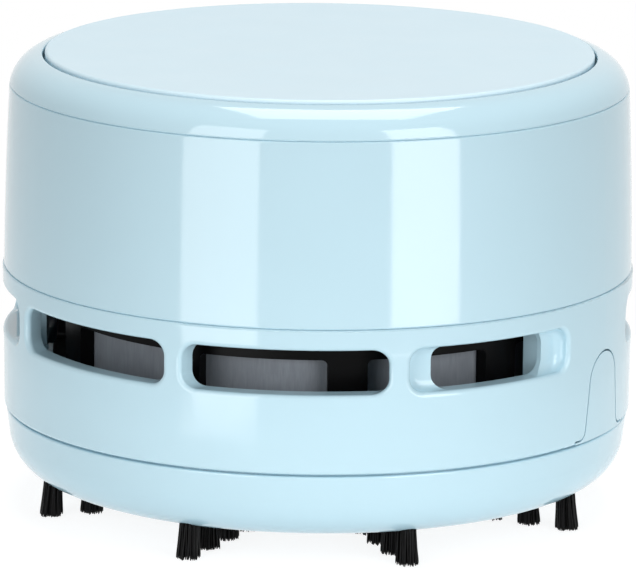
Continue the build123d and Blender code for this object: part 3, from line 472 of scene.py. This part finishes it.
class SWEEPER_OT_shell(bpy.types.Operator):
    """Finish the polished body: wall, lid ring, vented shell, tray and release tabs"""

    bl_idname = "sweeper.shell"
    bl_label = "Body Shell"

    def execute(self, context):
        colours = context.scene.sweeper_colours
        gloss = polished_abs("Polished ABS, pale blue", colours.shell)
        dress(gloss, "upper_shell", "cap_ring", "lower_shell", "dust_tray")
        dress(gloss, "release_tab_right", "release_tab_left")
        return {"FINISHED"}


class SWEEPER_OT_press_plate(bpy.types.Operator):
    """Finish the satin press plate"""

    bl_idname = "sweeper.press_plate"
    bl_label = "Press Plate"

    def execute(self, context):
        colours = context.scene.sweeper_colours
        dress(spark_textured_abs("Spark-textured ABS, pale blue", colours.plate), "power_plate")
        return {"FINISHED"}


class SWEEPER_OT_vents(bpy.types.Operator):
    """Finish the black cage and the grey exhaust filter behind the vents"""

    bl_idname = "sweeper.vents"
    bl_label = "Vents"

    def execute(self, context):
        colours = context.scene.sweeper_colours
        dress(black_abs("Moulded ABS, black", colours.cage), "vent_cage", "fan_cowl")
        sleeve = felted("Non-woven filter, grey", colours.exhaust, fibre=0.45 * MM, stretch=0.12)
        dress(sleeve, "exhaust_filter")
        return {"FINISHED"}


class SWEEPER_OT_bristles(bpy.types.Operator):
    """Model the tufts, filament by filament, in their eight rows"""

    bl_idname = "sweeper.bristles"
    bl_label = "Bristle Rows"

    row_count = 8
    tufts_per_row = 4
    cut_shares = (0.08, 0.4, 0.7)
    tip_taper = 0.55
    golden_angle = pi * (3 - sqrt(5))
    angle_drift = 0.25
    tip_drift = 0.16
    tip_reach_range = (0.88, 1.1)
    bend = 1.35
    tuft_turn = 1.7

    def filament(self, sizes, length):
        """One upright filament on the axis, from its tip at 0, cut into lengths so that it can bend."""
        nothing_selected()
        bpy.ops.mesh.primitive_cylinder_add(
            vertices=6, radius=sizes.filament_thickness / 2, depth=length, location=(0, 0, length / 2)
        )
        bpy.ops.object.mode_set(mode="EDIT")
        for share in self.cut_shares:
            bpy.ops.mesh.select_all(action="SELECT")
            bpy.ops.mesh.bisect(plane_co=(0, 0, share * length), plane_no=(0, 0, 1))
        bpy.ops.object.mode_set(mode="OBJECT")
        piece = settle("filament")
        for corner in piece.data.vertices:
            if corner.co.z < min(self.cut_shares) * length / 2:
                corner.co.x *= self.tip_taper
                corner.co.y *= self.tip_taper
        return piece

    def tuft(self, sizes, source, length, seed):
        """A tuft on the axis: filaments that spread from the root to the tips."""
        chance = random.Random(seed)
        bundle = bmesh.new()
        strand = bundle.verts.layers.float.new("strand")
        root_reach = sizes.tuft_root - sizes.filament_thickness / 2
        tip_reach = sizes.tuft_tip - sizes.filament_thickness / 2
        for place in range(sizes.filament_count):
            angle = place * self.golden_angle + chance.uniform(-self.angle_drift, self.angle_drift)
            reach = sqrt((place + 0.5) / sizes.filament_count)
            root = root_reach * reach
            tip_angle = angle + chance.uniform(-self.tip_drift, self.tip_drift)
            tip = tip_reach * min(1.0, reach * chance.uniform(*self.tip_reach_range))
            cut = sizes.tuft_ragged * chance.random() ** 2
            start = Vector((root * cos(angle), root * sin(angle), 0))
            end = Vector((tip * cos(tip_angle), tip * sin(tip_angle), 0))

            def lean(corner, start=start, end=end, cut=cut):
                share = 1 - corner.z / length
                middle = start.lerp(end, share**self.bend)
                height = cut + corner.z * (1 - cut / length)
                return Vector((corner.x + middle.x, corner.y + middle.y, height))

            tone = chance.random() ** 2
            for corner in stamp(bundle, source.data, lean):
                corner[strand] = tone
        mesh = bpy.data.meshes.new("tuft")
        bundle.to_mesh(mesh)
        bundle.free()
        return mesh

    def execute(self, context):
        sizes = context.scene.sweeper_sizes
        nylon = drawn_nylon("Drawn nylon, black", context.scene.sweeper_colours.bristle)
        first_row_low, first_row_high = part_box("bristle_row_1")
        socket_gap = 0.02 * MM
        length = first_row_high.z - socket_gap
        outer_radius = -first_row_low.y - sizes.tuft_tip
        source = self.filament(sizes, length)
        tufts = [self.tuft(sizes, source, length, seed) for seed in range(self.tufts_per_row)]
        bpy.data.objects.remove(source)
        for row in range(self.row_count):
            bundle = bmesh.new()
            bundle.verts.layers.float.new("strand")
            to_row = Matrix.Rotation(tau * row / self.row_count, 4, "Z")
            for place, mesh in enumerate(tufts):
                spun = Matrix.Rotation(self.tuft_turn * (row + place), 4, "Z")
                centre = Vector((0, place * sizes.tuft_pitch - outer_radius, 0))
                splay = sizes.tuft_splay / (1 + place)

                def into_row(corner, spun=spun, centre=centre, splay=splay):
                    outwards = Vector((0, -splay * (1 - corner.z / length), 0))
                    return to_row @ (spun @ corner + centre + outwards)

                stamp(bundle, mesh, into_row)
            mesh = bpy.data.meshes.new(f"bristle_tufts_{row + 1}")
            bundle.to_mesh(mesh)
            bundle.free()
            mesh.shade_smooth()
            piece_of(mesh.name, "tray", nylon, mesh, [f"bristle_row_{row + 1}"])
        return {"FINISHED"}


# ---------------------------------------------------------------- inner pieces


class SWEEPER_OT_plate_spring(bpy.types.Operator):
    """Wind the spring under the press plate. The real spring shortens as the plate goes down; this one rides
    on the cap at its full length
    """

    bl_idname = "sweeper.plate_spring"
    bl_label = "Plate Spring"

    def execute(self, context):
        sizes = context.scene.sweeper_sizes
        low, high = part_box("plate_spring")
        wire = sizes.spring_wire / 2
        radius = high.x - wire
        nothing_selected()
        bpy.ops.mesh.primitive_circle_add(
            vertices=10,
            radius=wire,
            fill_type="NOTHING",
            location=(radius, 0, low.z + wire),
            rotation=(pi / 2, 0, 0),
        )
        piece = settle("plate_spring_wound")
        screw = piece.modifiers.new("wind", "SCREW")
        screw.angle = tau
        screw.iterations = sizes.spring_turns
        screw.screw_offset = (high.z - low.z - 2 * wire) / sizes.spring_turns
        screw.steps = screw.render_steps = 48
        screw.use_merge_vertices = False
        bpy.ops.object.modifier_apply(modifier=screw.name)
        bpy.ops.object.mode_set(mode="EDIT")
        bpy.ops.mesh.select_all(action="DESELECT")
        bpy.ops.mesh.select_non_manifold()
        bpy.ops.mesh.fill()
        bpy.ops.mesh.select_all(action="SELECT")
        bpy.ops.mesh.normals_make_consistent(inside=False)
        bpy.ops.object.mode_set(mode="OBJECT")
        bpy.ops.object.shade_smooth_by_angle(angle=radians(40))
        plated = metal("Nickel-plated spring wire", NICKEL_PLATE, roughness=0.24, grain=0.2 * MM)
        piece.data.materials.append(plated)
        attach(piece, "cap")
        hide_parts("plate_spring")
        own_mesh(piece)
        return {"FINISHED"}


class SWEEPER_OT_cells(bpy.types.Operator):
    """Finish the two cells, their springs and their contacts"""

    bl_idname = "sweeper.cells"
    bl_label = "Cells and Contacts"

    def execute(self, context):
        colours = context.scene.sweeper_colours
        band_from = 14 * MM
        bare_face_radius = 5.9 * MM
        for side, end in (("left", -1), ("right", 1)):
            low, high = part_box(f"cell_{side}")
            film = cell_jacket(
                f"Shrunk film, {side} cell",
                colours.jacket,
                colours.band,
                axis_x=(low.x + high.x) / 2,
                axis_z=(low.z + high.z) / 2,
                band_from=end * band_from,
                face_radius=bare_face_radius,
            )
            dress(film, f"cell_{side}")
        wire = metal("Nickel-plated cell spring", NICKEL_PLATE, roughness=0.24, grain=0.2 * MM)
        dress(wire, "cell_spring_left", "cell_spring_right")
        strip = metal(
            "Nickel-plated strip", linear("#CBC8BE"), roughness=0.26, grain=0.25 * MM, stretch=(1, 1, 8)
        )
        dress(strip, "contact_bridge", "contact_plus", "contact_minus", "motor_terminals")
        return {"FINISHED"}


class SWEEPER_OT_switch(bpy.types.Operator):
    """Finish the push switch, its board and the leads"""

    bl_idname = "sweeper.switch"
    bl_label = "Switch and Leads"

    def execute(self, context):
        dress(moulded_nylon("Moulded nylon, black", linear("#1B1B1D")), "switch_case")
        dress(moulded_nylon("Moulded acetal, white", linear("#E4E3DE")), "switch_plunger", "impeller")
        dress(solder_masked_laminate("Solder-masked laminate, green", linear("#2F6B45")), "switch_board")
        dress(extruded_pvc("Drawn PVC, red", linear("#C42A25")), "lead_plus", "lead_switch")
        dress(extruded_pvc("Drawn PVC, black", linear("#1A1A1B")), "lead_minus")
        return {"FINISHED"}


class SWEEPER_OT_drive(bpy.types.Operator):
    """Finish the motor, its deck, the battery holder and the screws"""

    bl_idname = "sweeper.drive"
    bl_label = "Motor and Deck"

    def execute(self, context):
        dress(black_abs("Moulded ABS, dark grey", linear("#3A3C40")), "motor_deck", "battery_holder")
        dress(moulded_nylon("Moulded nylon, white", linear("#E2E1DA")), "motor_end_cap")
        sintered_pits = 0.01 * MM
        # Each row: node, material, colour, roughness, grain of its marks in mm, their stretch and depth.
        metals = (
            ("motor_can", "Deep-drawn zinc-plated steel", "#B4B6B8", 0.3, 0.5, (1, 1, 0.1), MARK_DEPTH),
            ("motor_bushes", "Sintered bronze", "#A98350", 0.45, 0.12, EVEN_STRETCH, sintered_pits),
            ("motor_magnets", "Sintered ferrite", "#3A3A3C", 0.6, 0.1, EVEN_STRETCH, sintered_pits),
            ("motor_armature", "Laminated steel", "#8A6A50", 0.4, 0.4, (1, 1, 12), MARK_DEPTH),
            ("motor_shaft", "Ground steel", "#B9BABC", 0.22, 0.15, (1, 1, 6), MARK_DEPTH),
        )
        for node, name, colour, roughness, grain_mm, stretch, depth in metals:
            dress(metal(name, linear(colour), roughness, grain_mm * MM, stretch, depth), node)
        zinc = metal("Zinc-plated screw steel", linear("#B9BBBE"), roughness=0.3, grain=0.3 * MM)
        dress(zinc, "deck_screws", "holder_screws", "cowl_screws", "motor_screws", "board_screws")
        return {"FINISHED"}


class SWEEPER_OT_dust_filter(bpy.types.Operator):
    """Finish the dust filter and the tray's foam seals"""

    bl_idname = "sweeper.dust_filter"
    bl_label = "Dust Filter"

    def execute(self, context):
        dress(moulded_polypropylene("Moulded polypropylene, grey", linear("#8E9194")), "dust_filter_frame")
        cloth = felted("Non-woven cloth, white", linear("#D8D8D4"), fibre=0.3 * MM, stretch=1.0)
        dress(cloth, "dust_filter_cloth")
        dress(closed_cell_foam("Closed-cell foam, grey", linear("#5A5C5F")), "tray_seals")
        return {"FINISHED"}


# ---------------------------------------------------------------- stage

WHITE = (1, 1, 1, 1)


class SWEEPER_OT_stage(bpy.types.Operator):
    """Set the table top, the softboxes, the room and the camera"""

    bl_idname = "sweeper.stage"
    bl_label = "Stage"

    def seen_by_eye(self, tree):
        """A socket that is 1 for rays from the camera, also by way of a mirror or glass, and else 0."""
        rays = add_node(tree, "ShaderNodeLightPath").outputs
        seen = rays["Is Camera Ray"]
        for kind in ("Is Glossy Ray", "Is Transmission Ray"):
            seen = add_node(tree, "ShaderNodeMath", {0: seen, 1: rays[kind]}, operation="MAXIMUM").outputs[0]
        return seen

    def softbox(self, name, place, tilt, turn, width, height, strength):
        """An area light of a brightness, which faces down at tilt 0 and sideways at tilt 90 degrees."""
        nothing_selected()
        bpy.ops.object.light_add(type="AREA", location=place, rotation=(radians(tilt), 0, radians(turn)))
        lamp = bpy.context.object
        lamp.name = name
        lamp.data.shape = "RECTANGLE"
        lamp.data.size = width
        lamp.data.size_y = height
        watts_per_area = 4
        lamp.data.energy = watts_per_area * strength * width * height
        lamp.visible_camera = False

    def floor(self, studio):
        """A round white table top that shows as white and keeps a soft shadow."""
        nothing_selected()
        bpy.ops.mesh.primitive_circle_add(vertices=160, radius=studio.floor_radius, fill_type="NGON")
        bpy.ops.object.mode_set(mode="EDIT")
        bpy.ops.mesh.select_all(action="SELECT")
        rim_share = 0.02
        bpy.ops.mesh.inset(thickness=studio.floor_radius * rim_share)
        bpy.ops.object.mode_set(mode="OBJECT")
        table = settle("table_top")
        material, tree, shader, _ = new_finish("White table laminate")
        shader.inputs["Base Color"].default_value = (0.92, 0.92, 0.92, 1)
        shader.inputs["Roughness"].default_value = 0.6
        shader.inputs["Emission Color"].default_value = WHITE
        shader.inputs["Emission Strength"].default_value = 0.1
        seen = self.seen_by_eye(tree)
        glow_strength, shadow_paint = 0.88, (0.25, 0.25, 0.25, 1)
        glow = add_node(tree, "ShaderNodeEmission", {"Color": WHITE, "Strength": glow_strength}).outputs[0]
        veil = add_node(tree, "ShaderNodeBsdfDiffuse", {"Color": shadow_paint}).outputs[0]
        shown = add_node(tree, "ShaderNodeAddShader", {0: glow, 1: veil}).outputs[0]
        mix = add_node(tree, "ShaderNodeMixShader", {0: seen, 1: shader.outputs[0], 2: shown}).outputs[0]
        tree.links.new(mix, tree.nodes["Material Output"].inputs["Surface"])
        table.data.materials.append(material)

    def room(self, studio):
        """A plain room that shows as white."""
        world = bpy.data.worlds.new("White room")
        bpy.context.scene.world = world
        world.use_nodes = True
        tree = world.node_tree
        seen = self.seen_by_eye(tree)
        lit = tree.nodes["Background"]
        lit.inputs["Color"].default_value = WHITE
        lit.inputs["Strength"].default_value = studio.room_strength
        shown = add_node(tree, "ShaderNodeBackground", {"Color": WHITE, "Strength": 1.0}).outputs[0]
        mix = add_node(tree, "ShaderNodeMixShader", {0: seen, 1: lit.outputs[0], 2: shown}).outputs[0]
        tree.links.new(mix, tree.nodes["World Output"].inputs["Surface"])

    def camera(self, studio):
        """The camera, which looks a little below the middle of the body."""
        outward = at_bearing(cos(studio.view_rise), degrees(studio.view_bearing), sin(studio.view_rise))
        middle = Vector((0, 0, 31.5 * MM))
        aim_drop, aim_right = 2.015 * MM, 0.054 * MM
        place = middle + studio.view_distance * outward
        turn = (-outward).to_track_quat("-Z", "Y")
        right, up = turn @ Vector((1, 0, 0)), turn @ Vector((0, 1, 0))
        aim = middle - aim_drop * up + aim_right * right
        turn = (aim - place).to_track_quat("-Z", "Y") @ Quaternion((0, 0, 1), studio.view_roll)
        nothing_selected()
        bpy.ops.object.camera_add(location=place, rotation=turn.to_euler())
        eye = bpy.context.object
        eye.data.sensor_fit = "HORIZONTAL"
        eye.data.sensor_width = 36
        eye.data.lens = studio.lens
        eye.data.clip_start = 0.01
        bpy.context.scene.camera = eye

    def execute(self, context):
        studio = context.scene.sweeper_studio
        context.scene.view_settings.view_transform = "Standard"
        self.floor(studio)
        self.room(studio)
        bearing = degrees(studio.view_bearing)
        key, fill, top = bearing + 38.2, bearing - 34.8, bearing + 156.6
        side_reach, top_reach = 0.65, 0.12
        self.softbox(
            "key",
            at_bearing(side_reach, key, 0.255),
            tilt=90,
            turn=key,
            width=0.29,
            height=0.71,
            strength=studio.key_strength,
        )
        self.softbox(
            "fill",
            at_bearing(side_reach, fill, 0.23),
            tilt=90,
            turn=fill,
            width=0.325,
            height=0.75,
            strength=studio.fill_strength,
        )
        self.softbox(
            "top",
            at_bearing(top_reach, top, 0.74),
            tilt=0,
            turn=bearing,
            width=0.435,
            height=0.52,
            strength=studio.top_strength,
        )
        self.camera(studio)
        return {"FINISHED"}


# ---------------------------------------------------------------- sidebar and running


class SWEEPER_PT_sidebar(bpy.types.Panel):
    """Buttons that build the sweeper piece by piece"""

    bl_label = "Desk Sweeper"
    bl_space_type = "VIEW_3D"
    bl_region_type = "UI"
    bl_category = "Sweeper"

    def draw(self, context):
        for operator in OPERATORS:
            self.layout.operator(operator.bl_idname)


OPERATORS = (
    SWEEPER_OT_stage,
    SWEEPER_OT_shell,
    SWEEPER_OT_press_plate,
    SWEEPER_OT_vents,
    SWEEPER_OT_bristles,
    SWEEPER_OT_plate_spring,
    SWEEPER_OT_cells,
    SWEEPER_OT_switch,
    SWEEPER_OT_drive,
    SWEEPER_OT_dust_filter,
)
CLASSES = (SweeperSizes, SweeperColours, SweeperStudio, *OPERATORS, SWEEPER_PT_sidebar)


def register():
    """Register the classes and their settings."""
    for one in CLASSES:
        bpy.utils.register_class(one)
    bpy.types.Scene.sweeper_sizes = PointerProperty(type=SweeperSizes)
    bpy.types.Scene.sweeper_colours = PointerProperty(type=SweeperColours)
    bpy.types.Scene.sweeper_studio = PointerProperty(type=SweeperStudio)


def unregister():
    """Remove the settings and the classes."""
    del bpy.types.Scene.sweeper_studio
    del bpy.types.Scene.sweeper_colours
    del bpy.types.Scene.sweeper_sizes
    for one in reversed(CLASSES):
        bpy.utils.unregister_class(one)


def main():
    """Build every piece and the stage."""
    register()
    bpy.ops.sweeper.stage()
    bpy.ops.sweeper.shell()
    bpy.ops.sweeper.press_plate()
    bpy.ops.sweeper.vents()
    bpy.ops.sweeper.bristles()
    bpy.ops.sweeper.plate_spring()
    bpy.ops.sweeper.cells()
    bpy.ops.sweeper.switch()
    bpy.ops.sweeper.drive()
    bpy.ops.sweeper.dust_filter()


if __name__ == "__main__":
    main()
